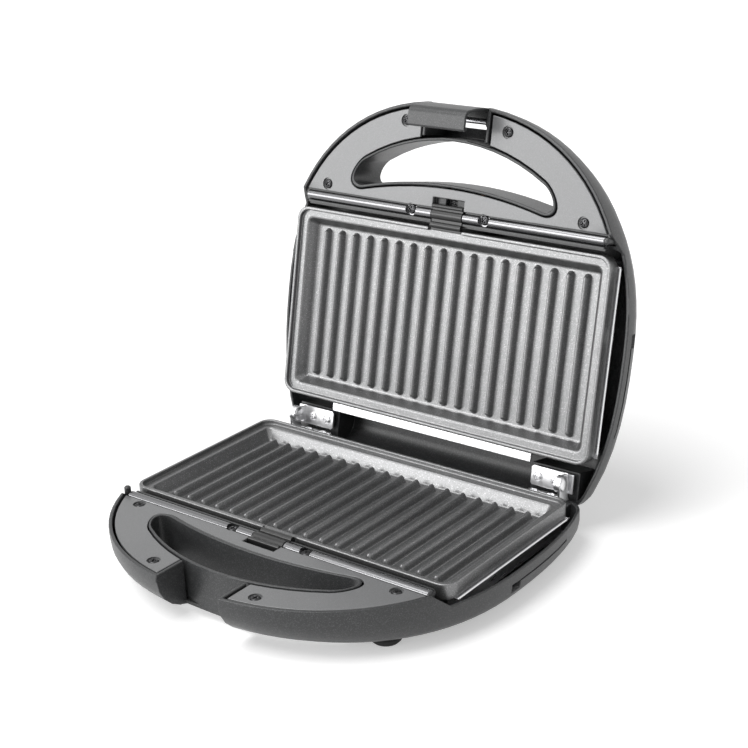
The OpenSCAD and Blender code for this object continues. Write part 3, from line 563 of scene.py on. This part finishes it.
def cross_recess(x, y, z):
    """Sinks a cross with sloping walls into a screw's head."""
    if z < RECESS_FROM:
        return z
    arm, along = min(abs(x), abs(y)), max(abs(x), abs(y))
    wall = min(1.0, max(0.0, (ARM_HALF - arm) / ARM_SLOPE))
    end = min(1.0, max(0.0, (ARM_LENGTH - along) / END_SLOPE))
    return z - RECESS_DEPTH * wall * end


def screw_line(shank):
    """A screw's outline from its tip to the top of its head, whose seat is at z = 0."""
    head = [
        (0, 1.36), (0.3, 1.36), (0.6, 1.35), (0.9, 1.34), (1.2, 1.32), (1.5, 1.29), (1.8, 1.24),
        (2.1, 1.16), (2.4, 1.03), (2.65, 0.85), (2.85, 0.62), (2.97, 0.35), (HEAD_R, 0.12),
        (HEAD_R - 0.08, 0)]
    tip = [(SHANK_R, 0), (SHANK_R, -shank + 0.6), (0.7, -shank), (0, -shank)]
    return list(reversed(head + tip))


def screws_piece(node, place, mirrored, spots):
    """All screws of one node, each turned differently, in pairs at +x and -x."""
    bm = bmesh.new()
    for i, (x, y, z, shank) in enumerate(spots):
        for side in (-1, 1):
            turn = Matrix.Rotation(math.radians(TURN_STEP * (i + 1) * side + TURN_SHIFT * i), 4, "Z")
            at = Matrix.Translation((side * x, y, z))
            lathe(bm, screw_line(shank), TO_METRES @ place @ at @ turn, SCREW_SIDES, cross_recess)
    if mirrored:
        bmesh.ops.reverse_faces(bm, faces=bm.faces)
    mesh = bpy.data.meshes.new(node + "_shape")
    bm.to_mesh(mesh)
    bm.free()
    shade(mesh, TURNED_CREASE)
    link_piece(node + "_shape", mesh, node)


for half, place, mirrored in HALVES:
    spots = [(x, y, SEAT_Z, PANEL_SHANK) for x, y in PANEL_SCREWS]
    spots.append((*RAIL_SCREW, SEAT_Z, RAIL_SHANK))
    screws_piece(half + "_panel_screws", place, mirrored, spots)
    down = LID_BRACKET_Z if mirrored else BASE_BRACKET_Z
    spots = [(x, y, down, BRACKET_SHANK) for x, y in BRACKET_SCREWS]
    screws_piece(half + "_bracket_screws", place, mirrored, spots)


def rivets_piece():
    """The two hinge rivets, domed at both ends, along the hinge's axis."""
    half_l = (STACK_OUT - EAR_X) / 2
    tip = half_l + RIVET_HEAD_H
    dome = [
        (0, tip), (1.2, tip - 0.04), (2.4, tip - 0.18), (3.3, tip - 0.42), (3.95, tip - 0.74),
        (RIVET_HEAD_R, half_l + 0.12), (RIVET_HEAD_R - 0.1, half_l), (RIVET_R, half_l)]
    line = [(r, -z) for r, z in dome] + list(reversed(dome))
    bm = bmesh.new()
    for side in (-1, 1):
        at = Matrix.Translation((side * (EAR_X + STACK_OUT) / 2, HINGE_Y, HINGE_Z))
        lay_along_x = Matrix.Rotation(math.radians(90), 4, "Y")
        lathe(bm, line, TO_METRES @ BASE_FRAME @ at @ lay_along_x, RIVET_SIDES)
    mesh = bpy.data.meshes.new("hinge_rivets_shape")
    bm.to_mesh(mesh)
    bm.free()
    shade(mesh, TURNED_CREASE)
    link_piece("hinge_rivets_shape", mesh, "hinge_rivets")


rivets_piece()

# ---------------------------------------------------------------- rounded CAD pieces
for half, _, _ in HALVES:
    soften(half + "_housing", (0.6, 0.3), 3)
    soften(half + "_panel", (0.5,), 3)
    soften(half + "_rail", (0.3,), material=RAIL_FINISH)
    soften(half + "_catch", (0.25,))
    soften(half + "_reflector", (0.2,))
    for side in ("left", "right"):
        soften(f"{half}_bracket_{side}", (0.3,))
soften("latch", (0.35,))
soften("cable_inlet", (0.3,))


# ---------------------------------------------------------------- catch springs
def squeeze_spring(half):
    """A smooth-shaded copy of a catch's spring, with a mesh of its own."""
    spring = soften(half + "_catch_spring", ())
    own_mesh(spring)


for half, place, _ in HALVES:
    squeeze_spring(half)


# ---------------------------------------------------------------- floor, light, background
FLOOR_HALF, FLOOR_TONE, FLOOR_GLOW = 6.0, 0.86, 0.42
SKY, SKY_SEEN = 0.33, 1.0


def seen_as_white(tree, strength, other):
    """White to camera, glossy and clear rays, and the shader `other` to all the rest."""
    path = tree.nodes.new("ShaderNodeLightPath")
    seen = path.outputs["Is Camera Ray"]
    for ray in ("Is Glossy Ray", "Is Transmission Ray"):
        most = tree.nodes.new("ShaderNodeMath")
        most.operation = "MAXIMUM"
        tree.links.new(seen, most.inputs[0])
        tree.links.new(path.outputs[ray], most.inputs[1])
        seen = most.outputs[0]
    white = tree.nodes.new("ShaderNodeEmission")
    white.inputs["Color"].default_value = (1, 1, 1, 1)
    white.inputs["Strength"].default_value = strength
    pick = tree.nodes.new("ShaderNodeMixShader")
    tree.links.new(seen, pick.inputs["Fac"])
    tree.links.new(other, pick.inputs[1])
    tree.links.new(white.outputs[0], pick.inputs[2])
    return pick.outputs[0]


def floor_paint():
    """Pale matt paint that takes shadows, with a glow that lights nothing."""
    m = bpy.data.materials.new("floor")
    m.use_nodes = True
    t = m.node_tree
    paint = t.nodes["Principled BSDF"]
    paint.inputs["Base Color"].default_value = (FLOOR_TONE, FLOOR_TONE, FLOOR_TONE, 1)
    paint.inputs["Roughness"].default_value = 1.0
    paint.inputs["Specular IOR Level"].default_value = 0.0
    black = t.nodes.new("ShaderNodeEmission")
    black.inputs["Strength"].default_value = 0.0
    add = t.nodes.new("ShaderNodeAddShader")
    t.links.new(paint.outputs[0], add.inputs[0])
    t.links.new(seen_as_white(t, FLOOR_GLOW, black.outputs[0]), add.inputs[1])
    t.links.new(add.outputs[0], t.nodes["Material Output"].inputs["Surface"])
    return m


def stage_floor():
    mesh = bpy.data.meshes.new("floor")
    s = FLOOR_HALF
    mesh.from_pydata([(-s, -s, 0), (s, -s, 0), (s, s, 0), (-s, s, 0)], [], [(0, 1, 2, 3)])
    mesh.materials.append(floor_paint())
    floor = bpy.data.objects.new("floor", mesh)
    scene.collection.objects.link(floor)


stage_floor()


def world():
    """A dim even sky that looks white."""
    w = bpy.data.worlds.new("world")
    scene.world = w
    w.use_nodes = True
    t = w.node_tree
    back = t.nodes["Background"]
    back.inputs["Color"].default_value = (1, 1, 1, 1)
    back.inputs["Strength"].default_value = SKY
    surface = seen_as_white(t, SKY_SEEN, back.outputs[0])
    t.links.new(surface, t.nodes["World Output"].inputs["Surface"])


world()


def sun(name, azimuth, elevation, strength, soft_deg):
    """A soft far lamp; azimuth 0 is in front of the object, positive towards +X."""
    light = bpy.data.lights.new(name, "SUN")
    light.energy = strength
    light.angle = math.radians(soft_deg)
    o = bpy.data.objects.new(name, light)
    scene.collection.objects.link(o)
    a, e = math.radians(azimuth), math.radians(elevation)
    toward = Vector((math.sin(a) * math.cos(e), -math.cos(a) * math.cos(e), math.sin(e)))
    o.rotation_mode = "QUATERNION"
    o.rotation_quaternion = toward.to_track_quat("Z", "Y")


sun("key", -34, 14, 1.45, 30)
sun("top", -30, 62, 1.9, 40)

scene.view_settings.view_transform = "Standard"
